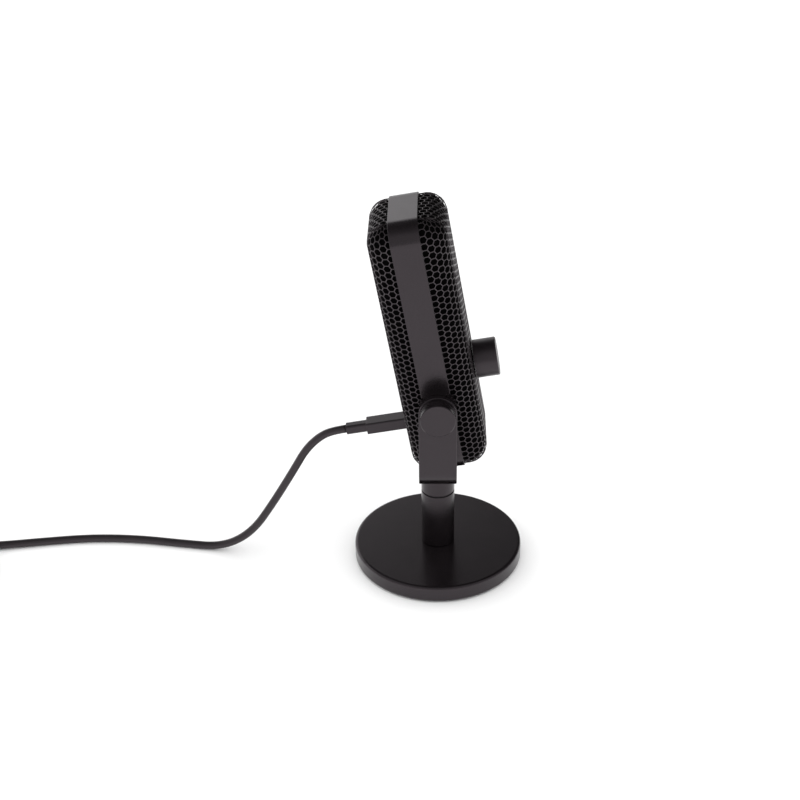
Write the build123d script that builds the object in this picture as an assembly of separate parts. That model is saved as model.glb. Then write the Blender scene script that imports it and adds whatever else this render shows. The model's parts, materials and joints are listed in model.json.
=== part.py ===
from build123d import *
from math import cos, pi, radians, sin, tan
import os

# Desktop microphone: a perforated head tilts in a U-shaped yoke on a short stem and a
# round weighted base. A USB cord leaves the rear of the head and ends in a coil.
# Millimetres. +Z is up, the front faces -Y and the tilt axis is parallel to X.
# The origin is the centre of the base's underside.

# ---- driving dimensions -------------------------------------------------------------

BASE_RADIUS = 50.0
BASE_TOP = 10.8
PAD_RADIUS = 46.5
PAD_THICKNESS = 2.0
PAD_STAND_OUT = 0.8

STEM_RADIUS = 9.8
GROOVE_BOTTOM = 46.2
GROOVE_HEIGHT = 0.7
GROOVE_DEPTH = 0.6

YOKE_BOTTOM = 68.7
YOKE_THICKNESS = 3.4
YOKE_WIDTH = 21.3
YOKE_BEND = 12.0
ARM_OUTER_X = 36.7

PIVOT_Z = 119.4
REST_TILT = 9.9
CAP_RADIUS = 9.75
CAP_OUTER_X = 43.9
CLAMP_BOLT_RADIUS = 3.0

HEAD_HALF_WIDTH = 28.0
HEAD_TOP = 108.9
HEAD_BOTTOM = -45.6
HEAD_CORNER = 12.0
BAND_WIDTH = 16.3
BAND_PROUD = 1.0

GRILLE_FRONT = 22.3
GRILLE_REAR = 21.2
GRILLE_THICKNESS = 1.0
FOAM_THICKNESS = 3.0

KNOB_RADIUS = 10.9
KNOB_LENGTH = 13.0
KNOB_Z = 11.2
KNOB_GAP = 0.8

PLUG_Z = -21.6
CORD_DIAMETER = 4.7

RUNNING_FIT = 0.05
LOOSE_FIT = 0.2


# ---- helpers ------------------------------------------------------------------------

def block(x_range, y_range, z_range):
    """A box given by its lowest and highest value along each axis."""
    size = [high - low for low, high in (x_range, y_range, z_range)]
    centre = [(high + low) / 2 for low, high in (x_range, y_range, z_range)]
    return Pos(*centre) * Box(*size)


def rod_x(radius, x_range, y=0.0, z=0.0):
    """A cylinder parallel to X."""
    low, high = x_range
    return Pos((low + high) / 2, y, z) * Rot(0, 90, 0) * Cylinder(radius, high - low)


def rod_y(radius, y_range, x=0.0, z=0.0):
    """A cylinder parallel to Y."""
    low, high = y_range
    return Pos(x, (low + high) / 2, z) * Rot(90, 0, 0) * Cylinder(radius, high - low)


def rod_z(radius, z_range, x=0.0, y=0.0):
    """A cylinder parallel to Z."""
    low, high = z_range
    return Pos(x, y, (low + high) / 2) * Cylinder(radius, high - low)


def bar_y(width, height, corner, y_range, z=0.0):
    """A bar parallel to Y with a rounded rectangular section."""
    low, high = y_range
    section = RectangleRounded(width, height, corner)
    return Pos(0, low, z) * Rot(-90, 0, 0) * extrude(section, high - low)


def in_head(shape):
    """Carries a shape from the head's own upright frame, with its origin on the pivot
    axis, to its place in the tilted head."""
    return Location((0, 0, PIVOT_Z), (-REST_TILT, 0, 0)) * shape


def head_point(y, z):
    """The place of a point of the head's middle plane in the tilted head."""
    tilt = radians(REST_TILT)
    return (0.0, y * cos(tilt) + z * sin(tilt), PIVOT_Z - y * sin(tilt) + z * cos(tilt))


def both_sides(shape):
    """The shape and its mirror image across the head's middle plane."""
    return {"left": mirror(shape, about=Plane.YZ), "right": shape}


PARTS = {}


def add(name, shape):
    PARTS[name] = shape


# ---- stand --------------------------------------------------------------------------

PAD_TOP = PAD_THICKNESS
DISC_BOTTOM = PAD_STAND_OUT
BASE_SCREW_HEAD = 8.0
BASE_SCREW_RADIUS = 4.0
BASE_SCREW_SEAT = 6.5
STUD_RADIUS = 4.0
STUD_BOTTOM = GROOVE_BOTTOM - 12.0
STUD_TOP = GROOVE_BOTTOM + 12.0


def make_base_disc():
    disc = rod_z(BASE_RADIUS, (DISC_BOTTOM, BASE_TOP))
    disc = fillet(disc.edges().group_by(Axis.Z)[-1], 1.8)
    disc = fillet(disc.edges().group_by(Axis.Z)[0], 1.5)
    disc -= rod_z(PAD_RADIUS + LOOSE_FIT, (DISC_BOTTOM, PAD_TOP))
    disc -= rod_z(BASE_SCREW_HEAD + LOOSE_FIT, (PAD_TOP, BASE_SCREW_SEAT))
    disc -= rod_z(BASE_SCREW_RADIUS + LOOSE_FIT, (BASE_SCREW_SEAT, BASE_TOP))
    return disc


def make_foot_pad():
    pad = rod_z(PAD_RADIUS, (0, PAD_TOP))
    return chamfer(pad.edges().group_by(Axis.Z)[0], 0.3)


def make_base_screw():
    head = rod_z(BASE_SCREW_HEAD, (PAD_TOP + 0.3, BASE_SCREW_SEAT))
    shank = rod_z(BASE_SCREW_RADIUS, (BASE_SCREW_SEAT, BASE_TOP + 14.0))
    socket = Pos(0, 0, PAD_TOP + 0.3) * extrude(RegularPolygon(3.0, 6), 2.5)
    return head + shank - socket


def make_lower_stem():
    stem = rod_z(STEM_RADIUS, (BASE_TOP, GROOVE_BOTTOM))
    stem = chamfer(stem.edges().group_by(Axis.Z)[0], 0.5)
    stem = fillet(stem.edges().group_by(Axis.Z)[-1], 0.3)
    stem -= rod_z(BASE_SCREW_RADIUS, (BASE_TOP, BASE_TOP + 16.0))
    return stem - rod_z(STUD_RADIUS, (STUD_BOTTOM, GROOVE_BOTTOM))


def make_swivel_washer():
    z_range = (GROOVE_BOTTOM, GROOVE_BOTTOM + GROOVE_HEIGHT)
    washer = rod_z(STEM_RADIUS - GROOVE_DEPTH, z_range)
    return washer - rod_z(STUD_RADIUS + RUNNING_FIT, z_range)


add("base_disc", make_base_disc())
add("foot_pad", make_foot_pad())
add("base_screw", make_base_screw())
add("lower_stem", make_lower_stem())
add("swivel_stud", rod_z(STUD_RADIUS, (STUD_BOTTOM, STUD_TOP)))
add("swivel_washer", make_swivel_washer())


# ---- yoke ---------------------------------------------------------------------------

ARM_INNER_X = ARM_OUTER_X - YOKE_THICKNESS
YOKE_FLOOR = YOKE_BOTTOM + YOKE_THICKNESS
YOKE_SCREW_RADIUS = 3.0
YOKE_SCREW_HEAD = 5.6
COLLAR_BOTTOM = GROOVE_BOTTOM + GROOVE_HEIGHT + 0.05


def make_stem_collar():
    collar = rod_z(STEM_RADIUS, (COLLAR_BOTTOM, YOKE_BOTTOM))
    collar = fillet(collar.edges().group_by(Axis.Z)[0], 0.3)
    collar -= rod_z(STUD_RADIUS + RUNNING_FIT, (COLLAR_BOTTOM, STUD_TOP + 0.5))
    return collar - rod_z(YOKE_SCREW_RADIUS, (YOKE_BOTTOM - 7.0, YOKE_BOTTOM))


def yoke_outline(half_width, bottom, bend, top):
    """Face of the U seen from the front, filled between its arms."""
    outline = Rectangle(2 * half_width, top - bottom)
    outline = fillet(outline.vertices().group_by(Axis.Y)[0], bend)
    return Pos(0, 0, (top + bottom) / 2) * Rot(90, 0, 0) * outline


def make_yoke_bracket():
    top = PIVOT_Z + YOKE_WIDTH / 2
    half = YOKE_WIDTH / 2
    outer = extrude(yoke_outline(ARM_OUTER_X, YOKE_BOTTOM, YOKE_BEND, top), half, both=True)
    inner_bend = YOKE_BEND - YOKE_THICKNESS
    inner = extrude(yoke_outline(ARM_INNER_X, YOKE_FLOOR, inner_bend, top + 1), half + 1, both=True)
    side_view = block((-60, 60), (-half, half), (YOKE_BOTTOM, PIVOT_Z))
    side_view += rod_x(half, (-60, 60), z=PIVOT_Z)
    bracket = (outer - inner) & side_view
    sharp = [edge for edge in bracket.edges() if is_yoke_outer_edge(edge)]
    bracket = chamfer(sharp, 0.35)
    bracket -= rod_x(CLAMP_BOLT_RADIUS + RUNNING_FIT, (-60, 60), z=PIVOT_Z)
    bracket -= rod_z(YOKE_SCREW_RADIUS + LOOSE_FIT, (YOKE_BOTTOM, YOKE_FLOOR))
    return bracket - countersink(YOKE_SCREW_HEAD + LOOSE_FIT, YOKE_SCREW_RADIUS + LOOSE_FIT)


def is_yoke_outer_edge(edge):
    """True for the edges that run round the outer face of an arm."""
    centre = edge.bounding_box().center()
    return abs(centre.X) > ARM_OUTER_X - 0.1 and edge.length > YOKE_WIDTH / 4


def countersink(head_radius, shank_radius):
    """Cone of a countersunk head, flush with the floor of the yoke."""
    depth = 2.6
    cone = Cone(shank_radius, head_radius, depth)
    return Pos(0, 0, YOKE_FLOOR - depth / 2) * cone


def make_yoke_screw():
    shank = rod_z(YOKE_SCREW_RADIUS, (YOKE_BOTTOM - 6.5, YOKE_FLOOR - 2.5))
    screw = shank + countersink(YOKE_SCREW_HEAD, YOKE_SCREW_RADIUS)
    return screw - Pos(0, 0, YOKE_FLOOR - 1.8) * extrude(RegularPolygon(2.0, 6), 2.0)


add("stem_collar", make_stem_collar())
add("yoke_bracket", make_yoke_bracket())
add("yoke_screw", make_yoke_screw())


# ---- pivot clamps -------------------------------------------------------------------

CAP_INNER_X = ARM_OUTER_X + 0.1
BOLT_TIP_X = 20.5
BOLT_SEAT_X = CAP_OUTER_X - 3.0


def make_clamp_cap():
    cap = rod_x(CAP_RADIUS, (CAP_INNER_X, CAP_OUTER_X), z=PIVOT_Z)
    cap = chamfer(cap.edges().group_by(Axis.X)[-1], 0.35)
    return cap - rod_x(CLAMP_BOLT_RADIUS, (CAP_INNER_X, BOLT_SEAT_X), z=PIVOT_Z)


for side, cap in both_sides(make_clamp_cap()).items():
    add(f"{side}_clamp_cap", cap)
for side, bolt in both_sides(rod_x(CLAMP_BOLT_RADIUS, (BOLT_TIP_X, BOLT_SEAT_X), z=PIVOT_Z)).items():
    add(f"{side}_clamp_bolt", bolt)


# ---- head: outer form, band and grilles -----------------------------------------------

BAND_HALF = BAND_WIDTH / 2
RIB_HALF = BAND_HALF - 3.0
SKIN_GAP = 0.15


def head_outline(inset):
    """Face of the head's outline seen from the front, that much inside the band."""
    width = 2 * (HEAD_HALF_WIDTH - inset)
    height = HEAD_TOP - HEAD_BOTTOM - 2 * inset
    outline = RectangleRounded(width, height, HEAD_CORNER - inset)
    return Pos(0, 0, (HEAD_TOP + HEAD_BOTTOM) / 2) * Rot(90, 0, 0) * outline


def band_ring(outer_inset, inner_inset, half_width):
    outer = extrude(head_outline(outer_inset), half_width, both=True)
    return outer - extrude(head_outline(inner_inset), half_width + 1, both=True)


def grille_form(inset):
    """Solid inside the grilles' outer surface, that much further in, all edges rounded."""
    half_width = HEAD_HALF_WIDTH - BAND_PROUD - inset
    solid = block((-half_width, half_width), (inset - GRILLE_FRONT, GRILLE_REAR - inset),
                  (HEAD_BOTTOM + BAND_PROUD + inset, HEAD_TOP - BAND_PROUD - inset))
    return fillet(solid.edges(), HEAD_CORNER - BAND_PROUD - inset)


def front_half(shape, y_end):
    return shape & block((-60, 60), (-60, y_end), (-90, 150))


def rear_half(shape, y_start):
    return shape & block((-60, 60), (y_start, 60), (-90, 150))


ENCODER_NECK_RADIUS = 3.5
BEZEL_WIDTH = 13.5
BEZEL_HEIGHT = 9.5
LIP_EDGE = RIB_HALF + 0.2
FOAM_INSET = GRILLE_THICKNESS + LOOSE_FIT
FOAM_EDGE = BAND_HALF - 1.0


def make_frame_band():
    skin = band_ring(0, BAND_PROUD - SKIN_GAP, BAND_HALF)
    skin = fillet(band_rim_edges(skin), 0.3)
    rib = band_ring(BAND_PROUD - SKIN_GAP - 0.1, BAND_PROUD + 3.0, RIB_HALF)
    band = skin + rib
    return band - rod_x(CLAMP_BOLT_RADIUS + LOOSE_FIT, (-60, 60))


def band_rim_edges(skin):
    """Outer edges of the band's two rims."""
    rims = skin.faces().sort_by(Axis.Y)
    return rims[0].outer_wire().edges() + rims[-1].outer_wire().edges()


def make_grilles():
    shell = grille_form(0) - grille_form(GRILLE_THICKNESS)
    front = front_half(shell, -LIP_EDGE)
    front -= rod_y(ENCODER_NECK_RADIUS + LOOSE_FIT, (-40, -15), z=KNOB_Z)
    rear = rear_half(shell, LIP_EDGE)
    rear -= bar_y(BEZEL_WIDTH, BEZEL_HEIGHT, 3.0, (10, 40), PLUG_Z)
    return front, rear


def make_foams():
    shell = grille_form(FOAM_INSET) - grille_form(FOAM_INSET + FOAM_THICKNESS)
    front = front_half(shell, -FOAM_EDGE)
    front -= rod_y(9.0, (-40, -10), z=KNOB_Z)
    rear = rear_half(shell, FOAM_EDGE)
    rear -= bar_y(BEZEL_WIDTH + 4, BEZEL_HEIGHT + 4, 3.0, (5, 40), PLUG_Z)
    return front, rear


front_grille, rear_grille = make_grilles()
front_foam, rear_foam = make_foams()
add("frame_band", in_head(make_frame_band()))
add("front_grille", in_head(front_grille))
add("rear_grille", in_head(rear_grille))
add("front_foam", in_head(front_foam))
add("rear_foam", in_head(rear_foam))


# ---- head: pivot ----------------------------------------------------------------------

BOSS_RADIUS = YOKE_WIDTH / 2
WASHER_THICKNESS = 0.5
WASHER_OUTER_X = ARM_INNER_X - 0.1
BOSS_OUTER_X = WASHER_OUTER_X - WASHER_THICKNESS
RIB_INNER_X = HEAD_HALF_WIDTH - BAND_PROUD - 3.0
NUT_INNER_X = RIB_INNER_X - 4.0


def make_pivot_boss():
    boss = rod_x(BOSS_RADIUS, (HEAD_HALF_WIDTH, BOSS_OUTER_X))
    return boss - rod_x(CLAMP_BOLT_RADIUS + RUNNING_FIT, (20, 40))


def make_friction_washer():
    washer = rod_x(BOSS_RADIUS - 1.0, (BOSS_OUTER_X, WASHER_OUTER_X))
    return washer - rod_x(CLAMP_BOLT_RADIUS + RUNNING_FIT, (20, 40))


def make_pivot_nut():
    hexagon = Rot(0, 90, 0) * extrude(RegularPolygon(5.5, 6), RIB_INNER_X - NUT_INNER_X)
    return Pos(NUT_INNER_X, 0, 0) * hexagon - rod_x(CLAMP_BOLT_RADIUS + RUNNING_FIT, (0, 40))


for piece, make_piece in (
    ("pivot_boss", make_pivot_boss),
    ("friction_washer", make_friction_washer),
    ("pivot_nut", make_pivot_nut),
):
    for side, shape in both_sides(make_piece()).items():
        add(f"{side}_{piece}", in_head(shape))


# ---- head: chassis, board and capsule ---------------------------------------------------

CHASSIS_HALF_WIDTH = 19.0
CHASSIS_FRONT = 0.5
CHASSIS_BACK = 2.5
CHASSIS_TOP = 62.0
CHASSIS_BOTTOM = HEAD_BOTTOM + BAND_PROUD + 4.6
BOARD_FRONT = 7.0
BOARD_BACK = 8.6
BOARD_BOTTOM = -36.0
BOARD_TOP = 46.0
BOARD_HALF_WIDTH = 17.0
SCREW_RADIUS = 1.4
EAR_Z = (-30.0, 55.0)
BOARD_HOLE_X = 14.0
BOARD_HOLE_Z = (-32.0, 42.0)
CAPSULE_Z = 80.0
CAPSULE_RADIUS = 12.5


def corner_pegs(radius, y_range, half_span, heights):
    """A group of equal rods parallel to Y at four corners."""
    pegs = [rod_y(radius, y_range, x=x, z=z) for x in (-half_span, half_span) for z in heights]
    return Compound(children=pegs)


def make_chassis_plate():
    plate = block((-CHASSIS_HALF_WIDTH, CHASSIS_HALF_WIDTH), (CHASSIS_FRONT, CHASSIS_BACK),
                  (CHASSIS_BOTTOM, CHASSIS_TOP))
    for z in EAR_Z:
        plate += block((-RIB_INNER_X + 0.2, RIB_INNER_X - 0.2), (CHASSIS_FRONT, CHASSIS_BACK),
                       (z - 4, z + 4))
    for z in EAR_Z:
        for x in (-21.0, 21.0):
            plate -= rod_y(SCREW_RADIUS, (0, 3), x=x, z=z)
    for z in BOARD_HOLE_Z:
        for x in (-BOARD_HOLE_X, BOARD_HOLE_X):
            plate -= rod_y(SCREW_RADIUS, (0, 3), x=x, z=z)
    return plate


def make_chassis_screws():
    """Screws that clamp the plate's ears to small lugs inside the band."""
    screws = []
    for z in EAR_Z:
        for x in (-21.0, 21.0):
            head = rod_y(2.4, (CHASSIS_BACK, CHASSIS_BACK + 1.4), x=x, z=z)
            screws.append(head + rod_y(SCREW_RADIUS, (-3.0, CHASSIS_BACK), x=x, z=z))
    return Compound(children=screws)


def make_chassis_lugs():
    """Lugs that carry the plate's ears, fixed to the inside of the band."""
    lugs = []
    for z in EAR_Z:
        for side in (-1, 1):
            x_range = sorted((side * 18.0, side * RIB_INNER_X))
            lug = block(x_range, (-4.0, CHASSIS_FRONT), (z - 4, z + 4))
            lugs.append(lug - rod_y(SCREW_RADIUS, (-3.0, 1), x=side * 21.0, z=z))
    return Compound(children=lugs)


def make_board_spacers():
    spacers = []
    for z in BOARD_HOLE_Z:
        for x in (-BOARD_HOLE_X, BOARD_HOLE_X):
            spacer = rod_y(2.6, (CHASSIS_BACK, BOARD_FRONT), x=x, z=z)
            spacers.append(spacer - rod_y(SCREW_RADIUS, (0, 9), x=x, z=z))
    return Compound(children=spacers)


def make_board_screws():
    screws = []
    for z in BOARD_HOLE_Z:
        for x in (-BOARD_HOLE_X, BOARD_HOLE_X):
            head = rod_y(2.4, (BOARD_BACK, BOARD_BACK + 1.4), x=x, z=z)
            screws.append(head + rod_y(SCREW_RADIUS, (CHASSIS_FRONT, BOARD_BACK), x=x, z=z))
    return Compound(children=screws)


def make_main_board():
    board = block((-BOARD_HALF_WIDTH, BOARD_HALF_WIDTH), (BOARD_FRONT, BOARD_BACK),
                  (BOARD_BOTTOM, BOARD_TOP))
    for z in BOARD_HOLE_Z:
        for x in (-BOARD_HOLE_X, BOARD_HOLE_X):
            board -= rod_y(SCREW_RADIUS, (0, 12), x=x, z=z)
    return board


def make_board_parts():
    """Converter chip, amplifier chip and a row of round capacitors."""
    back = BOARD_BACK
    chips = [
        block((-5, 5), (back, back + 1.2), (4, 14)),
        block((-3, 3), (back, back + 1.2), (22, 27)),
    ]
    cans = [rod_y(2.5, (back, back + 5.0), x=x, z=36.0) for x in (-7.0, 0.0, 7.0)]
    return Compound(children=chips + cans)


def make_capsule_bracket():
    foot = block((-8, 8), (CHASSIS_FRONT - 2.0, CHASSIS_FRONT), (48, 64))
    post = block((-3, 3), (CHASSIS_FRONT - 2.0, CHASSIS_FRONT), (64, 66.5))
    return foot + post


def make_capsule_cradle():
    ring = rod_y(CAPSULE_RADIUS + 1.0, (-6.5, 5.0), z=CAPSULE_Z)
    return ring - rod_y(CAPSULE_RADIUS - 0.5, (-10, 10), z=CAPSULE_Z)


def make_capsule_housing():
    housing = rod_y(CAPSULE_RADIUS - 0.5, (-8.0, 6.5), z=CAPSULE_Z)
    for y_range in ((-8.0, -6.5), (5.0, 6.5)):
        housing -= rod_y(CAPSULE_RADIUS - 2.0, y_range, z=CAPSULE_Z)
    return housing


add("chassis_plate", in_head(make_chassis_plate()))
add("chassis_lugs", in_head(make_chassis_lugs()))
add("chassis_screws", in_head(make_chassis_screws()))
add("main_board", in_head(make_main_board()))
add("board_spacers", in_head(make_board_spacers()))
add("board_screws", in_head(make_board_screws()))
add("board_parts", in_head(make_board_parts()))
add("capsule_bracket", in_head(make_capsule_bracket()))
add("capsule_cradle", in_head(make_capsule_cradle()))
add("capsule_housing", in_head(make_capsule_housing()))
for place, y_range in (("front", (-6.9, -6.5)), ("rear", (5.0, 5.4))):
    add(f"{place}_diaphragm", in_head(rod_y(CAPSULE_RADIUS - 2.2, y_range, z=CAPSULE_Z)))


# ---- head: front control ----------------------------------------------------------------

ENCODER_HALF = 6.0
ENCODER_BACK = -2.0
ENCODER_FRONT = -14.8
NECK_FRONT = -(GRILLE_FRONT - GRILLE_THICKNESS - 0.2)
SHAFT_RADIUS = 2.5
ROTOR_RADIUS = 4.8
ROTOR_RANGE = (-12.6, -9.0)
SWITCH_TRAVEL = 0.5
SHAFT_BACK = -6.0
KNOB_REAR = -(GRILLE_FRONT + KNOB_GAP)
KNOB_FRONT = KNOB_REAR - KNOB_LENGTH
SHAFT_FRONT = KNOB_FRONT + 2.5


def make_encoder_body():
    """Square case with a threaded neck, hollow for the rotor and the sliding shaft."""
    heights = (KNOB_Z - ENCODER_HALF, KNOB_Z + ENCODER_HALF)
    case = block((-ENCODER_HALF, ENCODER_HALF), (ENCODER_FRONT, ENCODER_BACK), heights)
    case += rod_y(ENCODER_NECK_RADIUS, (NECK_FRONT, ENCODER_FRONT), z=KNOB_Z)
    back, front = ROTOR_RANGE[1], ROTOR_RANGE[0]
    case -= rod_y(ROTOR_RADIUS + 0.3, (front - 0.3, back + 0.3), z=KNOB_Z)
    bore_end = SHAFT_BACK + SWITCH_TRAVEL + 0.4
    return case - rod_y(SHAFT_RADIUS + RUNNING_FIT, (NECK_FRONT - 1, bore_end), z=KNOB_Z)


def make_encoder_bracket():
    """Block that joins the encoder to the chassis plate."""
    heights = (KNOB_Z - ENCODER_HALF, KNOB_Z + ENCODER_HALF)
    return block((-12, 12), (ENCODER_BACK, CHASSIS_FRONT), heights)


def make_encoder_nut():
    nut = Pos(0, ENCODER_FRONT, KNOB_Z) * Rot(90, 0, 0) * extrude(RegularPolygon(5.5, 6), 2.0)
    return nut - rod_y(ENCODER_NECK_RADIUS + RUNNING_FIT, (-30, -10), z=KNOB_Z)


def make_encoder_rotor():
    rotor = rod_y(ROTOR_RADIUS, ROTOR_RANGE, z=KNOB_Z)
    return rotor - rod_y(SHAFT_RADIUS + RUNNING_FIT, (-20, -5), z=KNOB_Z)


def make_gain_knob():
    """Cylindrical cap with a hollow back and a hub that grips the shaft."""
    knob = rod_y(KNOB_RADIUS, (KNOB_FRONT, KNOB_REAR), z=KNOB_Z)
    front_edge = knob.faces().sort_by(Axis.Y)[0].edges()
    knob = chamfer(front_edge, 0.5)
    knob -= rod_y(KNOB_RADIUS - 1.6, (KNOB_REAR - 6.0, KNOB_REAR), z=KNOB_Z)
    knob += rod_y(5.0, (KNOB_REAR - 6.5, KNOB_REAR), z=KNOB_Z)
    knob -= rod_y(KNOB_RADIUS - 2.0, (KNOB_FRONT, KNOB_FRONT + 0.8), z=KNOB_Z)
    knob -= rod_y(SHAFT_RADIUS + RUNNING_FIT, (SHAFT_FRONT, KNOB_REAR), z=KNOB_Z)
    return knob - rod_z(1.0, (KNOB_Z - 5.5, KNOB_Z - SHAFT_RADIUS), y=KNOB_REAR - 3.0)


def make_knob_end_plate():
    return rod_y(KNOB_RADIUS - 2.1, (KNOB_FRONT + 0.1, KNOB_FRONT + 0.8), z=KNOB_Z)


def make_knob_set_screw():
    return rod_z(0.95, (KNOB_Z - 4.9, KNOB_Z - SHAFT_RADIUS - 0.1), y=KNOB_REAR - 3.0)


add("encoder_body", in_head(make_encoder_body()))
add("encoder_bracket", in_head(make_encoder_bracket()))
add("encoder_nut", in_head(make_encoder_nut()))
add("encoder_rotor", in_head(make_encoder_rotor()))
add("encoder_shaft", in_head(rod_y(SHAFT_RADIUS, (SHAFT_FRONT, SHAFT_BACK), z=KNOB_Z)))
add("gain_knob", in_head(make_gain_knob()))
add("knob_end_plate", in_head(make_knob_end_plate()))
add("knob_set_screw", in_head(make_knob_set_screw()))


# ---- head: USB socket and the plug in it --------------------------------------------------

SHELL_WIDTH = 8.25
SHELL_HEIGHT = 2.4
SHELL_START = 14.9
SOCKET_WALL = 0.35
OVERMOULD_WIDTH = 9.6
OVERMOULD_HEIGHT = 7.0
OVERMOULD_START = GRILLE_REAR + 0.5
OVERMOULD_END = 45.4
RELIEF_WIDTH = 6.0
RELIEF_HEIGHT = 5.6
RELIEF_END = 57.5


def make_usb_receptacle():
    width = SHELL_WIDTH + 2 * (LOOSE_FIT / 2 + SOCKET_WALL)
    height = SHELL_HEIGHT + 2 * (LOOSE_FIT / 2 + SOCKET_WALL)
    case = bar_y(width, height, 1.4, (BOARD_BACK, GRILLE_REAR - 0.6), PLUG_Z)
    mouth = (SHELL_WIDTH + LOOSE_FIT, SHELL_HEIGHT + LOOSE_FIT, 1.2)
    return case - bar_y(*mouth, (SHELL_START - 1.0, 40), PLUG_Z)


def make_port_bezel():
    outer = bar_y(BEZEL_WIDTH - LOOSE_FIT, BEZEL_HEIGHT - LOOSE_FIT, 2.9,
                  (GRILLE_REAR - 3.0, GRILLE_REAR + 0.3), PLUG_Z)
    flange = bar_y(BEZEL_WIDTH + 2.4, BEZEL_HEIGHT + 2.4, 3.5,
                   (GRILLE_REAR - 3.0, GRILLE_REAR - GRILLE_THICKNESS - 0.4), PLUG_Z)
    hole = bar_y(SHELL_WIDTH + 1.2, SHELL_HEIGHT + 1.2, 1.6, (10, 40), PLUG_Z)
    return outer + flange - hole


def make_usb_plug_shell():
    shell = bar_y(SHELL_WIDTH, SHELL_HEIGHT, 1.15, (SHELL_START, OVERMOULD_START), PLUG_Z)
    return shell - bar_y(6.9, 1.0, 0.45, (SHELL_START, OVERMOULD_START - 1.0), PLUG_Z)


def make_usb_plug_overmould():
    overmould = bar_y(OVERMOULD_WIDTH, OVERMOULD_HEIGHT, 1.0,
                      (OVERMOULD_START, OVERMOULD_END), PLUG_Z)
    ends = overmould.faces().sort_by(Axis.Y)
    return fillet(ends[0].edges() + ends[-1].edges(), 0.35)


def make_usb_strain_relief():
    relief = bar_y(RELIEF_WIDTH, RELIEF_HEIGHT, 1.4, (OVERMOULD_END, RELIEF_END), PLUG_Z)
    return fillet(relief.faces().sort_by(Axis.Y)[-1].edges(), 0.35)


add("usb_receptacle", in_head(make_usb_receptacle()))
add("port_bezel", in_head(make_port_bezel()))
add("usb_plug_shell", in_head(make_usb_plug_shell()))
add("usb_plug_overmould", in_head(make_usb_plug_overmould()))
add("usb_strain_relief", in_head(make_usb_strain_relief()))


# ---- cord -------------------------------------------------------------------------------

CORD_RADIUS = CORD_DIAMETER / 2
TIE_THICKNESS = 0.8
COIL_CENTRE = (-28.0, 301.0)
COIL_MEAN_RADIUS = 24.4
COIL_LAYERS = 3
COIL_HALF = COIL_LAYERS * CORD_DIAMETER / 2
COIL_FLOOR = TIE_THICKNESS
COIL_TOP = COIL_FLOOR + COIL_LAYERS * CORD_DIAMETER
BOTTOM_LAYER_Z = COIL_FLOOR + CORD_RADIUS
TOP_LAYER_Z = COIL_TOP - CORD_RADIUS
TAIL_Y = COIL_CENTRE[1] + COIL_MEAN_RADIUS
HOST_Z = 4.0
HOST_RELIEF_X = -81.0

LEAD_ROUTE = [
    head_point(RELIEF_END, PLUG_Z),
    head_point(RELIEF_END + 8.4, PLUG_Z),
    (0.0, 69.1, 82.6),
    (0.0, 77.4, 73.7),
    (0.1, 84.6, 60.2),
    (0.2, 97.8, 37.0),
    (0.6, 112.2, 14.4),
    (1.8, 131.0, 2.6),
    (5.6, 156.0, 2.4),
    (10.4, 184.0, 2.4),
    (11.4, 213.0, 2.4),
    (7.6, 241.0, 2.5),
    (2.9, 267.0, 2.9),
    (1.1, 292.0, BOTTOM_LAYER_Z),
]

TAIL_ROUTE = [
    (COIL_CENTRE[0] - 4.0, TAIL_Y, TOP_LAYER_Z),
    (COIL_CENTRE[0] - 16.0, TAIL_Y - 0.3, TOP_LAYER_Z - 0.2),
    (COIL_CENTRE[0] - 29.0, TAIL_Y + 0.4, 8.6),
    (COIL_CENTRE[0] - 41.5, TAIL_Y, HOST_Z),
    (HOST_RELIEF_X, TAIL_Y, HOST_Z),
]


def corner_radii(points):
    """Radius at each inner point of a route: 0.45 of its shorter run, over the tangent of
    half its turn."""
    radii = []
    for before, here, after in zip(points, points[1:], points[2:]):
        run_in = Vector(*here) - Vector(*before)
        run_out = Vector(*after) - Vector(*here)
        half_turn = radians(run_in.get_angle(run_out)) / 2
        radii.append(0.45 * min(run_in.length, run_out.length) / tan(half_turn))
    return radii


def make_tube(name, points):
    """Plain round tube along a route of straight runs and tangent arcs."""
    radii = corner_radii(points)
    path = FilletPolyline(*points, radius=radii)
    tube = sweep(Plane(origin=path @ 0, z_dir=path % 0) * Circle(CORD_RADIUS), path=path)
    expected = pi * CORD_RADIUS ** 2 * path.length
    print(f"{name}: length {path.length:.1f}, volume ratio {tube.volume / expected:.4f}")
    print(f"{name}: radii", [round(radius, 1) for radius in radii])
    return tube


def make_cord_coil():
    z_range = (COIL_FLOOR, COIL_TOP)
    coil = rod_z(COIL_MEAN_RADIUS + COIL_HALF, z_range, *COIL_CENTRE)
    coil -= rod_z(COIL_MEAN_RADIUS - COIL_HALF, z_range, *COIL_CENTRE)
    return fillet(coil.edges(), CORD_RADIUS * 0.9)


def make_cord_tie():
    """Strap wrapped round the bundle of turns on the side away from the plug."""
    inner = COIL_MEAN_RADIUS - COIL_HALF - 1.2
    outer = COIL_MEAN_RADIUS + COIL_HALF
    wrap = TIE_THICKNESS
    strap = block((-6, 6), (inner - wrap, outer + wrap), (0, COIL_TOP + wrap))
    strap -= block((-7, 7), (inner, outer), (COIL_FLOOR, COIL_TOP))
    return Location((*COIL_CENTRE, 0), (0, 0, 200)) * strap


def make_host_strain_relief():
    relief = Pos(HOST_RELIEF_X - 7.0, TAIL_Y, HOST_Z) * Rot(0, -90, 0) * Cone(2.9, 3.6, 14.0)
    return relief


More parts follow.
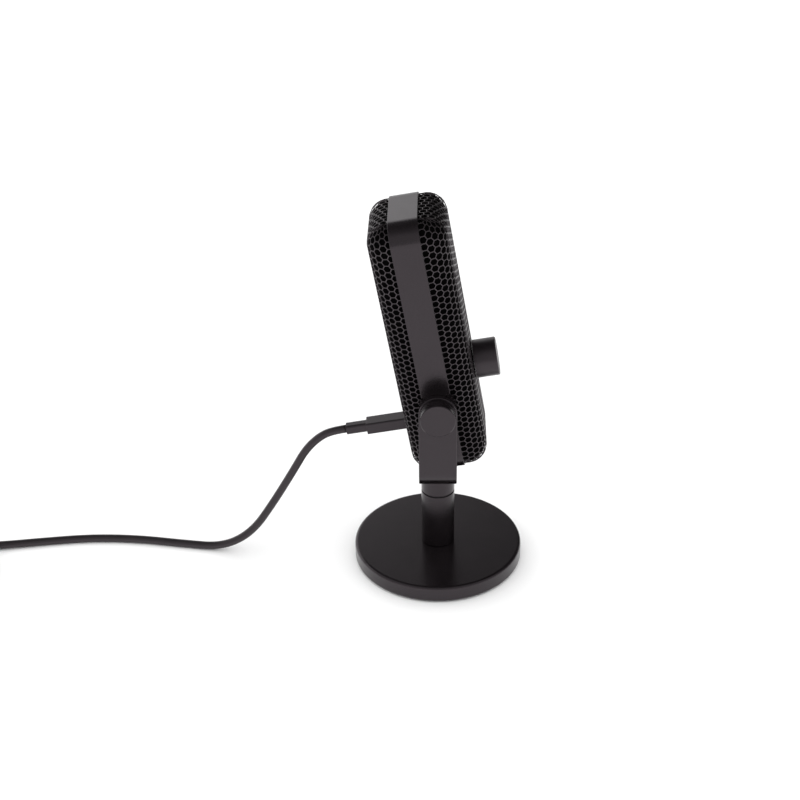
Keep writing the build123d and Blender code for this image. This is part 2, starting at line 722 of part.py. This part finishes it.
def make_host_plug_overmould():
    start = HOST_RELIEF_X - 14.0
    body = block((start - 22.0, start), (TAIL_Y - 8.0, TAIL_Y + 8.0), (0.1, 2 * HOST_Z - 0.1))
    return fillet(body.edges(), 1.2)


def make_host_plug_shell():
    start = HOST_RELIEF_X - 36.0
    low, high = HOST_Z - 2.25, HOST_Z + 2.25
    shell = block((start - 11.8, start), (TAIL_Y - 6.0, TAIL_Y + 6.0), (low, high))
    cavity = block((start - 12.0, start - 1.0), (TAIL_Y - 5.7, TAIL_Y + 5.7), (low + 2.2, high - 0.3))
    return shell - cavity


add("usb_cord", make_tube("usb_cord", LEAD_ROUTE))
add("cord_coil", make_cord_coil())
add("cord_tail", make_tube("cord_tail", TAIL_ROUTE))
add("cord_tie", make_cord_tie())
add("host_strain_relief", make_host_strain_relief())
add("host_plug_overmould", make_host_plug_overmould())
add("host_plug_shell", make_host_plug_shell())


# ---- export -----------------------------------------------------------------------------

os.makedirs("parts", exist_ok=True)
for name, shape in PARTS.items():
    export_step(shape, f"parts/{name}.step")
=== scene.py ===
import json
from math import cos, pi, radians, sin

import bmesh
import bpy
import numpy as np
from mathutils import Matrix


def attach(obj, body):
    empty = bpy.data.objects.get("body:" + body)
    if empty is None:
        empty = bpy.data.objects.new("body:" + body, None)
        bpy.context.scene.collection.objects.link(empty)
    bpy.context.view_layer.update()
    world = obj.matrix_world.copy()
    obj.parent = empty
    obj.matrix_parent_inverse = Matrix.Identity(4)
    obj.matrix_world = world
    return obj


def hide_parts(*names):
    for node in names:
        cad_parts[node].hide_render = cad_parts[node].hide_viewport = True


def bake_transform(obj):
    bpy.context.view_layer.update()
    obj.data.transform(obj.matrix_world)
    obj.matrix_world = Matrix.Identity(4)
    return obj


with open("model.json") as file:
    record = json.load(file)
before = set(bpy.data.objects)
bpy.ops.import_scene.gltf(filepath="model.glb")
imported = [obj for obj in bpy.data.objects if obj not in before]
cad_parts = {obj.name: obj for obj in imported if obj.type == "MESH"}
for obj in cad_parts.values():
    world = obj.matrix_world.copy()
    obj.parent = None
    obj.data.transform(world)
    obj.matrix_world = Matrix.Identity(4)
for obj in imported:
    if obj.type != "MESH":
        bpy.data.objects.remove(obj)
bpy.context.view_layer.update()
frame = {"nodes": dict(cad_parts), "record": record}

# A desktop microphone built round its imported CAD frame. The perforated grilles, the foam
# behind them, the rings round the knob and the port, the USB cord and the strap on its coil
# are modelled here. The other pieces are CAD nodes with procedural materials. Lengths are
# millimetres until MM is applied.

MM = 0.001

PIVOT_Z = 119.4
REST_TILT = radians(9.9)

HALF_WIDTH = 27.0
HEAD_TOP = 107.9
HEAD_BOTTOM = -44.6
FACE_FRONT = 22.3
FACE_REAR = 21.2
CORNER = 11.0
GRILLE_RIM = 5.6

HOLE_PITCH = 3.4
COLUMN_PITCH = 3.5
COLUMN_DROP = 1.4
WEB = 0.42
SHEET = 0.5
ROLL_OVER = 0.1
STRETCH_START = 40.0
STRETCH_LENGTH = 57.0
STRETCH = 0.0014

KNOB_Z = 11.2
KNOB_CLEAR_RADIUS = 6.5
PORT_Z = -21.6
CORD_DIAMETER = 4.7
RELIEF_END = 57.5
TIE_THICKNESS = 0.8
FOAM_OUTSIDE = 1.25
FOAM_INSIDE = 4.0

MERGE_DISTANCE = 2e-6


def to_world(points):
    """Carries points from the upright head, origin on the pivot, to the tilted one."""
    x, y, z = np.asarray(points, dtype=float).T
    tilted_y = y * cos(REST_TILT) + z * sin(REST_TILT)
    tilted_z = PIVOT_Z - y * sin(REST_TILT) + z * cos(REST_TILT)
    return np.column_stack([x, tilted_y, tilted_z]) * MM


def head_point(y, z):
    """The place in millimetres of a point of the head's middle plane."""
    return tuple(to_world([(0.0, y, z)])[0] / MM)


# ---- camera ---------------------------------------------------------------------------

CAMERA_PLACE = (-0.7406, 0.0, 0.5437)
CAMERA_DIP = 30.5
FOCAL_LENGTH = 67.5
SENSOR_WIDTH = 36.0
# A fraction of the frame's width. It puts the object a little to the right of the middle.
CAMERA_SHIFT = -0.047375


def make_camera():
    """The camera in front of the side arm, looking down at the object."""
    data = bpy.data.cameras.new("camera")
    data.lens = FOCAL_LENGTH
    data.sensor_width = SENSOR_WIDTH
    data.shift_x = CAMERA_SHIFT
    camera = bpy.data.objects.new("camera", data)
    camera.location = CAMERA_PLACE
    camera.rotation_euler = (radians(90.0 - CAMERA_DIP), 0.0, radians(-90.0))
    bpy.context.scene.collection.objects.link(camera)
    bpy.context.scene.camera = camera


make_camera()


# ---- cord -----------------------------------------------------------------------------

LOW_LAYER = TIE_THICKNESS + CORD_DIAMETER / 2
MIDDLE_LAYER = LOW_LAYER + CORD_DIAMETER
TOP_LAYER = MIDDLE_LAYER + CORD_DIAMETER
COIL_CENTRE = (-28.0, 301.0)
MIDDLE_TURN = 24.4
OUTER_TURN = MIDDLE_TURN + CORD_DIAMETER
INNER_TURN = MIDDLE_TURN - CORD_DIAMETER
POINTS_PER_TURN = 16
TAIL_Y = COIL_CENTRE[1] + MIDDLE_TURN
HOST_Z = 4.0
HOST_RELIEF_X = -81.0

LEAD_ROUTE = [
    head_point(RELIEF_END, PORT_Z),
    head_point(RELIEF_END + 8.4, PORT_Z),
    (0.0, 69.1, 82.6),
    (0.0, 77.4, 73.7),
    (0.1, 84.6, 60.2),
    (0.2, 97.8, 37.0),
    (0.6, 112.2, 14.4),
    (1.8, 131.0, 2.6),
    (5.6, 156.0, 2.4),
    (10.4, 184.0, 2.4),
    (11.4, 213.0, 2.4),
    (7.6, 241.0, 2.5),
    (2.9, 267.0, 2.9),
    (1.1, 292.0, LOW_LAYER),
]

TAIL_ROUTE = [
    (COIL_CENTRE[0] - 4.0, TAIL_Y, TOP_LAYER),
    (COIL_CENTRE[0] - 16.0, TAIL_Y - 0.3, TOP_LAYER - 0.2),
    (COIL_CENTRE[0] - 29.0, TAIL_Y + 0.4, 8.6),
    (COIL_CENTRE[0] - 41.5, TAIL_Y, HOST_Z),
    (HOST_RELIEF_X, TAIL_Y, HOST_Z),
]

# Where the winding has which radius and height, by the angle wound so far in degrees.
# It goes inwards over three turns, climbs, comes outwards, climbs again and ends on top.
WINDING = [
    (0, OUTER_TURN, LOW_LAYER),
    (300, OUTER_TURN, LOW_LAYER),
    (355, MIDDLE_TURN, LOW_LAYER),
    (660, MIDDLE_TURN, LOW_LAYER),
    (715, INNER_TURN, LOW_LAYER),
    (970, INNER_TURN, LOW_LAYER),
    (1035, INNER_TURN, MIDDLE_LAYER),
    (1275, INNER_TURN, MIDDLE_LAYER),
    (1330, MIDDLE_TURN, MIDDLE_LAYER),
    (1635, MIDDLE_TURN, MIDDLE_LAYER),
    (1690, OUTER_TURN, MIDDLE_LAYER),
    (1930, OUTER_TURN, MIDDLE_LAYER),
    (1990, OUTER_TURN, TOP_LAYER),
    (2230, OUTER_TURN, TOP_LAYER),
    (2285, MIDDLE_TURN, TOP_LAYER),
    (2610, MIDDLE_TURN, TOP_LAYER),
]


def coil_route():
    """Points of the turns, set out a little so that the smooth line keeps its radius."""
    step = 360.0 / POINTS_PER_TURN
    angles = np.arange(0.0, WINDING[-1][0] - step / 2, step)
    wound, radii, heights = zip(*WINDING)
    spread = 4.0 / (3.0 + cos(radians(step)))
    points = []
    for angle in angles:
        radius = np.interp(angle, wound, radii) * spread
        x = COIL_CENTRE[0] + radius * cos(radians(angle))
        y = COIL_CENTRE[1] + radius * sin(radians(angle))
        points.append((x, y, np.interp(angle, wound, heights)))
    return points


def cord_line():
    """The cord's centreline, a smooth curve with the route's points as control points."""
    points = LEAD_ROUTE + coil_route() + TAIL_ROUTE
    curve = bpy.data.curves.new("cord_line", "CURVE")
    curve.dimensions = "3D"
    curve.bevel_resolution = 6
    curve.resolution_u = 8
    curve.use_fill_caps = True
    spline = curve.splines.new("NURBS")
    spline.points.add(len(points) - 1)
    for control, place in zip(spline.points, points):
        control.co = (*[value * MM for value in place], 1.0)
        control.radius = CORD_DIAMETER / 2 * MM
    spline.order_u = 3
    spline.use_endpoint_u = True
    return bpy.data.objects.new("cord_line", curve)


def make_cord():
    """The cord as a tube round its line. Returns its path too."""
    line = cord_line()
    path = [vert.co.copy() for vert in bpy.data.meshes.new_from_object(line).vertices]
    line.data.bevel_depth = 1.0
    mesh = bpy.data.meshes.new_from_object(line)
    bpy.data.objects.remove(line)
    tidy_mesh(mesh)
    mesh.shade_smooth()
    cord = bpy.data.objects.new("usb_lead", mesh)
    bpy.context.scene.collection.objects.link(cord)
    return cord, path


def rounded_ring(half_width, half_height, section):
    """A closed band round a rounded rectangle. Each point of its section is a distance out
    from the corners' centres and a place along the ring's axis."""
    steps = 64
    points = []
    for outset, along in section:
        for angle in (np.arange(steps) + 0.5) * 2 * pi / steps:
            across = np.sign(cos(angle)) * half_width + outset * cos(angle)
            up = np.sign(sin(angle)) * half_height + outset * sin(angle)
            points.append((across, up, along))
    faces = []
    for ring in range(len(section)):
        this = ring * steps
        after = (ring + 1) % len(section) * steps
        for i in range(steps):
            j = (i + 1) % steps
            faces.append((this + i, this + j, after + j, after + i))
    return np.array(points), faces


def tidy_mesh(mesh):
    """Merges doubled points, drops collapsed faces and loose points, and turns faces outwards."""
    shape = bmesh.new()
    shape.from_mesh(mesh)
    bmesh.ops.remove_doubles(shape, verts=shape.verts, dist=MERGE_DISTANCE)
    bmesh.ops.dissolve_degenerate(shape, edges=shape.edges, dist=MERGE_DISTANCE)
    loose = [vert for vert in shape.verts if not vert.link_faces]
    bmesh.ops.delete(shape, geom=loose, context="VERTS")
    bmesh.ops.recalc_face_normals(shape, faces=shape.faces)
    shape.to_mesh(mesh)
    shape.free()


def add_mesh(name, places, faces, sharp):
    """A mesh object without doubled points or collapsed faces, smooth but for its edges."""
    mesh = bpy.data.meshes.new(name)
    mesh.from_pydata([tuple(place) for place in places], [], faces)
    tidy_mesh(mesh)
    mesh.shade_smooth()
    mesh.set_sharp_from_angle(angle=radians(sharp))
    piece = bpy.data.objects.new(name, mesh)
    bpy.context.scene.collection.objects.link(piece)
    return piece


STRAP_CORNER = 2.2
STRAP_HALF_WIDTH = 6.0
STRAP_SOFT_EDGE = 0.25
STRAP_ANGLE = radians(200.0)
STRAP_SLACK = 1.2


def make_tie():
    """Strap round the bundle of turns, with soft edges."""
    inside = STRAP_CORNER
    outside = inside + TIE_THICKNESS
    edge = STRAP_HALF_WIDTH
    soft_inside = inside + STRAP_SOFT_EDGE
    soft_outside = outside - STRAP_SOFT_EDGE
    bundle = 3 * CORD_DIAMETER
    inner = MIDDLE_TURN - bundle / 2 - STRAP_SLACK
    outer = MIDDLE_TURN + bundle / 2
    section = [(inside, -edge + 0.2), (inside, edge - 0.2), (soft_inside, edge), (soft_outside, edge),
               (outside, edge - 0.3), (outside, -edge + 0.3), (soft_outside, -edge), (soft_inside, -edge)]
    ring, faces = rounded_ring((outer - inner) / 2 - inside, bundle / 2 - inside, section)
    reach = ring[:, 0] + (inner + outer) / 2
    x = COIL_CENTRE[0] + ring[:, 2] * cos(STRAP_ANGLE) - reach * sin(STRAP_ANGLE)
    y = COIL_CENTRE[1] + ring[:, 2] * sin(STRAP_ANGLE) + reach * cos(STRAP_ANGLE)
    z = ring[:, 1] + TIE_THICKNESS + bundle / 2
    return add_mesh("coil_strap", np.column_stack([x, y, z]) * MM, faces, sharp=50)


tie = make_tie()
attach(tie, "yoke")
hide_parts("cord_tie")

cord, cord_path = make_cord()
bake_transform(cord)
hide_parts("usb_cord", "cord_coil", "cord_tail")


# ---- perforated grilles ---------------------------------------------------------------

PORT_CLEAR_X = 8.2
PORT_CLEAR_Z = 6.2
ON_FACE = 18.0
RIM_MARGIN = 0.3
COLUMNS = range(-13, 14)
ROWS = range(-24, 42)
FOAM_STEP = 1.5
RING_SINK = 0.9
RING_STAND = 0.25


def bend_sheet(flat, depth, face):
    """Bends a flat sheet over the head's face, its sides and its ends. Returns each point's
    place at that depth and how far forward it lies, which is 0 where the sheet is cut away."""
    s, t = flat.T
    half = HALF_WIDTH - CORNER
    quarter = CORNER * pi / 2
    straight_t = np.clip(t, HEAD_BOTTOM + CORNER, HEAD_TOP - CORNER)
    over_s = np.maximum(abs(s) - half, 0.0)
    over_t = abs(t - straight_t)
    swing = np.minimum(over_s / CORNER, pi / 2)
    rise = np.minimum(over_t / CORNER, pi / 2)
    on_side = over_s > quarter
    back = np.where(on_side, over_s - quarter, np.maximum(over_t - quarter, 0.0))
    radius = CORNER - depth
    x = np.clip(s, -half, half) + np.sign(s) * radius * np.sin(swing) * np.cos(rise)
    z = straight_t + np.sign(t - straight_t) * radius * np.sin(rise)
    y = abs(face) - CORNER - back + radius * np.cos(swing) * np.cos(rise)
    cut_away = (over_t > quarter) & (over_s > 0)
    forward = np.where(cut_away, 0.0, y)
    return np.column_stack([x, np.maximum(y, GRILLE_RIM) * np.sign(face), z]), forward


def stretched(flat):
    """The flat lattice with its cells drawn longer towards the top of the head."""
    above = np.maximum(flat[:, 1] - STRETCH_START, 0.0)
    grow = np.minimum(above, STRETCH_LENGTH)
    return np.column_stack([flat[:, 0], flat[:, 1] + STRETCH * grow * (2 * above - grow)])


ACROSS = np.array([COLUMN_PITCH, -COLUMN_DROP])
ALONG = np.array([0.0, HOLE_PITCH])
NEIGHBOURS = [ACROSS, ACROSS + ALONG, ALONG, -ACROSS, -ACROSS - ALONG, -ALONG]
HEXAGON = np.array([(here + NEIGHBOURS[(i + 1) % 6]) / 3 for i, here in enumerate(NEIGHBOURS)])
HOLE_SCALE = 1.0 - WEB / HOLE_PITCH
RINGS = [
    (1.0, 0.0),
    (HOLE_SCALE + 0.07, 0.02),
    (HOLE_SCALE, ROLL_OVER),
    (HOLE_SCALE, SHEET),
    (1.0, SHEET),
]


def cell_centres():
    """Centres of the lattice of holes on the flattened sheet."""
    return [column * ACROSS + row * ALONG for column in COLUMNS for row in ROWS]


def is_off_sheet(forward, may_be_cut):
    """True behind the grille's rim, or with more corners cut away than may be."""
    return np.all(forward < GRILLE_RIM + RIM_MARGIN) or np.count_nonzero(forward == 0) > may_be_cut


def is_open(place, face):
    """False where a fitting takes the place of the perforation."""
    x, z = place
    if face < 0:
        return np.hypot(x, z - KNOB_Z) > KNOB_CLEAR_RADIUS
    return abs(x) > PORT_CLEAR_X or abs(z - PORT_Z) > PORT_CLEAR_Z


def make_perforated(name, face):
    """One half of the head's grille, a sheet of hexagonal holes with rolled-over edges."""
    verts = []
    index = {}
    faces = []
    edge_use = {}

    def vertex(flat, depth):
        key = (round(flat[0], 3), round(flat[1], 3), depth)
        if key not in index:
            index[key] = len(verts)
            verts.append((*flat, depth))
        return index[key]

    for centre in cell_centres():
        places, forward = bend_sheet(stretched(centre + HEXAGON), np.zeros(6), face)
        if is_off_sheet(forward, may_be_cut=2):
            continue
        middle = (places[:, 0].mean(), places[:, 2].mean())
        if forward.mean() > ON_FACE and not is_open(middle, face):
            continue
        rings = [[vertex(centre + corner_offset * scale, depth) for corner_offset in HEXAGON]
                 for scale, depth in RINGS]
        for inner, outer in zip(rings, rings[1:]):
            for i in range(6):
                j = (i + 1) % 6
                faces.append((inner[i], inner[j], outer[j], outer[i]))
        for i in range(6):
            j = (i + 1) % 6
            pair = frozenset((rings[0][i], rings[0][j]))
            rim = (rings[0][j], rings[0][i], rings[-1][i], rings[-1][j])
            edge_use.setdefault(pair, []).append(rim)
    faces += [uses[0] for uses in edge_use.values() if len(uses) == 1]

    flat = np.array(verts)
    places, _ = bend_sheet(stretched(flat[:, :2]), flat[:, 2], face)
    return add_mesh(name, to_world(places), faces, sharp=50)


def open_edges(faces):
    """Directed edges that only one face uses."""
    edges = [(face[i], face[(i + 1) % len(face)]) for face in faces for i in range(len(face))]
    present = set(edges)
    return [edge for edge in edges if (edge[1], edge[0]) not in present]


def make_foam(name, face):
    """The black foam lining behind one grille half, open round the knob or the port."""
    s_steps = np.arange(-42.0, 42.1, FOAM_STEP)
    t_steps = np.arange(-60.0, 124.1, FOAM_STEP)
    flat = np.array([(s, t) for s in s_steps for t in t_steps])
    outer, forward = bend_sheet(flat, np.full(len(flat), FOAM_OUTSIDE), face)
    inner, _ = bend_sheet(flat, np.full(len(flat), FOAM_INSIDE), face)
    rows = len(t_steps)
    layer = []
    for i in range(len(s_steps) - 1):
        for j in range(rows - 1):
            first = i * rows + j
            quad = (first, first + rows, first + rows + 1, first + 1)
            if is_off_sheet(forward[list(quad)], may_be_cut=1):
                continue
            x, _, z = outer[list(quad)].mean(axis=0)
            if forward[first] > ON_FACE and not is_open((x, z), face):
                continue
            layer.append(quad)
    count = len(flat)
    faces = layer + [tuple(index + count for index in reversed(quad)) for quad in layer]
    faces += [(b, a, a + count, b + count) for a, b in open_edges(layer)]
    return add_mesh(name, to_world(np.vstack([outer, inner])), faces, sharp=60)


def make_surround(name, half_width, half_height, inner, width, face):
    """A thin bevelled frame on the grille round the knob's neck or the port."""
    back = abs(face) - RING_SINK
    front = abs(face) + RING_STAND
    section = [(inner, back), (inner, front - 0.2), (inner + 0.2, front),
               (inner + width - 0.4, front), (inner + width, front - 0.3), (inner + width, back)]
    ring, faces = rounded_ring(half_width, half_height, section)
    centre_z = KNOB_Z if face < 0 else PORT_Z
    places = np.column_stack([ring[:, 0], ring[:, 2] * np.sign(face), ring[:, 1] + centre_z])
    return add_mesh(name, to_world(places), faces, sharp=35)


front_mesh = make_perforated("front_perforated_grille", -FACE_FRONT)
rear_mesh = make_perforated("rear_perforated_grille", FACE_REAR)
front_lining = make_foam("front_foam_lining", -FACE_FRONT)
rear_lining = make_foam("rear_foam_lining", FACE_REAR)
knob_ring = make_surround("knob_neck_ring", 0.0, 0.0, 3.9, 4.6, -FACE_FRONT)
port_frame = make_surround("port_frame", 3.85, 1.85, 3.0, 2.6, FACE_REAR)
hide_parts("front_grille")
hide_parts("rear_grille")
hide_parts("front_foam")
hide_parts("rear_foam")
HEAD_PIECES = {
    front_mesh: "grille_metal",
    rear_mesh: "grille_metal",
    front_lining: "foam",
    rear_lining: "foam",
    knob_ring: "coated_metal",
    port_frame: "coated_metal",
}
for piece, slot in HEAD_PIECES.items():
    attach(piece, "head")


# ---- materials ------------------------------------------------------------------------

WARM_TINT = (1.0, 0.87, 0.95, 1.0)
BLACK = (0.0042, 0.0034, 0.0038)
BLACK_LIGHTER = (0.006, 0.0048, 0.0054)
CORD_BLACK = (0.007, 0.006, 0.0065)
CORD_LIGHTER = (0.011, 0.0095, 0.01)
MESH_LIGHTER = (0.012, 0.01, 0.0105)
COLOR_PATCHES = 90.0
GLOSS_PATCHES = 160.0
GLOSS_SPREAD = 0.04


def new_material(name, color, roughness, metallic=0.0):
    material = bpy.data.materials.new(name)
    material.use_nodes = True
    tree = material.node_tree
    shader = tree.nodes["Principled BSDF"]
    shader.inputs["Base Color"].default_value = (*color, 1.0)
    shader.inputs["Roughness"].default_value = roughness
    shader.inputs["Metallic"].default_value = metallic
    return material, tree, shader


def noise(tree, scale, detail=2.0):
    place = tree.nodes.new("ShaderNodeTexCoord")
    texture = tree.nodes.new("ShaderNodeTexNoise")
    texture.inputs["Scale"].default_value = scale
    texture.inputs["Detail"].default_value = detail
    tree.links.new(place.outputs["Object"], texture.inputs["Vector"])
    return texture.outputs["Fac"]


def vary_color(tree, shader, factor, low, high):
    """Lets the colour drift between two near ones."""
    ramp = tree.nodes.new("ShaderNodeValToRGB")
    ramp.color_ramp.elements[0].position = 0.3
    ramp.color_ramp.elements[0].color = (*low, 1.0)
    ramp.color_ramp.elements[1].position = 0.7
    ramp.color_ramp.elements[1].color = (*high, 1.0)
    tree.links.new(factor, ramp.inputs["Fac"])
    tree.links.new(ramp.outputs["Color"], shader.inputs["Base Color"])


def vary_roughness(tree, shader, factor, low, high):
    """Lets the gloss drift a little."""
    spread = tree.nodes.new("ShaderNodeMapRange")
    spread.inputs["To Min"].default_value = low
    spread.inputs["To Max"].default_value = high
    tree.links.new(factor, spread.inputs["Value"])
    tree.links.new(spread.outputs["Result"], shader.inputs["Roughness"])


def bump(tree, shader, height, distance):
    """Fine relief from a height, at full strength."""
    relief = tree.nodes.new("ShaderNodeBump")
    relief.inputs["Distance"].default_value = distance
    relief.inputs["Strength"].default_value = 1.0
    tree.links.new(height, relief.inputs["Height"])
    tree.links.new(relief.outputs["Normal"], shader.inputs["Normal"])


def grained(name, low, high, roughness, grain, height, metallic=0.0, gloss=0.5):
    """A surface with slightly uneven colour and gloss and a fine grain."""
    material, tree, shader = new_material(name, low, roughness, metallic)
    shader.inputs["Specular IOR Level"].default_value = gloss
    if not metallic:
        shader.inputs["Specular Tint"].default_value = WARM_TINT
    vary_color(tree, shader, noise(tree, COLOR_PATCHES, 4.0), low, high)
    vary_roughness(tree, shader, noise(tree, GLOSS_PATCHES, 3.0),
                   roughness - GLOSS_SPREAD, roughness + GLOSS_SPREAD)
    bump(tree, shader, noise(tree, grain, 2.0), height)
    return material


MATERIALS = {
    "coated_metal": grained("satin_coat", BLACK, BLACK_LIGHTER, 0.23, 1400.0, 0.00001, gloss=0.55),
    "grille_metal": grained("coated_mesh", BLACK, MESH_LIGHTER, 0.32, 1400.0, 0.00001, gloss=0.85),
    "foam": grained("lining_foam", (0.0006,) * 3, (0.0012,) * 3, 0.95, 1800.0, 0.0003, gloss=0.05),
    "knob": grained("satin_plastic", BLACK, BLACK_LIGHTER, 0.36, 1600.0, 0.00001, gloss=0.58),
    "soft_rubber": grained("soft_rubber", (0.008,) * 3, (0.012,) * 3, 0.7, 1200.0, 0.00005),
    "plain_steel": grained("zinc_plate", (0.5, 0.5, 0.52), (0.58, 0.58, 0.6), 0.35, 500.0, 0.00002, 1.0),
    "nylon": grained("black_nylon", (0.01,) * 3, (0.016,) * 3, 0.5, 900.0, 0.00003),
    "board": grained("solder_mask", (0.01, 0.08, 0.03), (0.014, 0.1, 0.04), 0.4, 700.0, 0.00002),
    "board_parts": grained("chip_cases", (0.012, 0.012, 0.013), (0.02, 0.02, 0.022), 0.5, 900.0, 0.00002),
    "capsule_brass": grained("turned_brass", (0.6, 0.45, 0.22), (0.68, 0.52, 0.26), 0.3, 300.0, 0.00002, 1.0),
    "gold_film": grained("gold_film", (0.8, 0.6, 0.25), (0.85, 0.66, 0.3), 0.25, 200.0, 0.00002, 1.0),
    "plug_metal": grained("nickel", (0.62, 0.61, 0.6), (0.68, 0.67, 0.66), 0.24, 600.0, 0.00001, 1.0),
    "plug_plastic": grained("moulded_plastic", BLACK, BLACK_LIGHTER, 0.42, 1500.0, 0.00002, gloss=0.58),
    "cord_jacket": grained("cord_jacket", CORD_BLACK, CORD_LIGHTER, 0.42, 1200.0, 0.00002, gloss=0.58),
    "tie_strap": grained("woven_strap", (0.008,) * 3, (0.014,) * 3, 0.8, 1500.0, 0.0002),
}

for part in frame["record"]["subparts"]:
    node = frame["nodes"][part["node"]]
    for slot in node.material_slots:
        slot.material = MATERIALS[part["material_slot"]]
cord.data.materials.clear()
cord.data.materials.append(MATERIALS["cord_jacket"])
tie.data.materials.append(MATERIALS["tie_strap"])
for piece, slot in HEAD_PIECES.items():
    piece.data.materials.append(MATERIALS[slot])


# ---- floor and light ------------------------------------------------------------------

def make_floor():
    mesh = bpy.data.meshes.new("floor")
    reach = 12.0
    corners = [(-reach, -reach, 0.0), (reach, -reach, 0.0),
               (reach, reach, 0.0), (-reach, reach, 0.0)]
    mesh.from_pydata(corners, [], [(0, 1, 2, 3)])
    material, tree, shader = new_material("white_sweep", (0.9, 0.9, 0.9), 0.8)
    vary_color(tree, shader, noise(tree, 3.0), (0.9, 0.9, 0.9), (0.91, 0.91, 0.91))
    mesh.materials.append(material)
    floor = bpy.data.objects.new("floor", mesh)
    bpy.context.scene.collection.objects.link(floor)


def direction_level(tree, value, stops):
    """A grey level that follows one component of the direction looked in, by a ramp."""
    ramp = tree.nodes.new("ShaderNodeValToRGB")
    spread = tree.nodes.new("ShaderNodeMapRange")
    spread.inputs["From Min"].default_value = -1.0
    tree.links.new(value, spread.inputs["Value"])
    tree.links.new(spread.outputs["Result"], ramp.inputs["Fac"])
    marks = ramp.color_ramp.elements
    while len(marks) < len(stops):
        marks.new(0.5)
    for mark, (height, level) in zip(marks, stops):
        mark.position = (height + 1) / 2
        mark.color = (level, level, level, 1.0)
    return ramp.outputs["Color"]


def mix_color(tree, kind, factor, first, second):
    """Two colours mixed or multiplied, in full where no factor is given."""
    mixer = tree.nodes.new("ShaderNodeMix")
    mixer.data_type = "RGBA"
    mixer.blend_type = kind
    if factor is None:
        mixer.inputs["Factor"].default_value = 1.0
    else:
        tree.links.new(factor, mixer.inputs["Factor"])
    tree.links.new(first, mixer.inputs["A"])
    tree.links.new(second, mixer.inputs["B"])
    return mixer.outputs["Result"]


# Light by height, on the camera's side and on the far side, and by side from -Y to +Y.
NEAR_SKY = [(0.0, 0.6), (0.7, 0.55), (0.95, 0.12)]
FAR_SKY = [(0.0, 1.0), (0.53, 1.1), (0.62, 0.1), (0.95, 0.04)]
SIDE_FALL = [(-0.12, 0.1), (0.16, 1.15)]
WHERE_FAR = [(-0.15, 0.0), (0.2, 1.0)]
OVERHEAD_STRENGTH = 3.2
OVERHEAD_SPREAD = radians(120.0)


def make_world():
    """A white studio whose reflections are bright low down and dark overhead."""
    world = bpy.data.worlds.new("studio")
    world.use_nodes = True
    tree = world.node_tree
    background = tree.nodes["Background"]
    place = tree.nodes.new("ShaderNodeTexCoord")
    split = tree.nodes.new("ShaderNodeSeparateXYZ")
    tree.links.new(place.outputs["Generated"], split.inputs["Vector"])
    far = direction_level(tree, split.outputs["Z"], FAR_SKY)
    side = direction_level(tree, split.outputs["Y"], SIDE_FALL)
    far = mix_color(tree, "MULTIPLY", None, far, side)
    near = direction_level(tree, split.outputs["Z"], NEAR_SKY)
    where = direction_level(tree, split.outputs["X"], WHERE_FAR)
    sky = mix_color(tree, "MIX", where, near, far)
    path = tree.nodes.new("ShaderNodeLightPath")
    white = tree.nodes.new("ShaderNodeRGB")
    white.outputs[0].default_value = (1.0, 1.0, 1.0, 1.0)
    seen = mix_color(tree, "MIX", path.outputs["Is Camera Ray"], sky, white.outputs[0])
    tree.links.new(seen, background.inputs["Color"])
    bpy.context.scene.world = world


def make_overhead_light():
    """A very soft light that whitens the floor and is not reflected in the object."""
    data = bpy.data.lights.new("overhead", "SUN")
    data.energy = OVERHEAD_STRENGTH
    data.angle = OVERHEAD_SPREAD
    light = bpy.data.objects.new("overhead", data)
    light.visible_glossy = False
    bpy.context.scene.collection.objects.link(light)


make_floor()
make_world()
make_overhead_light()
bpy.context.scene.view_settings.view_transform = "Standard"
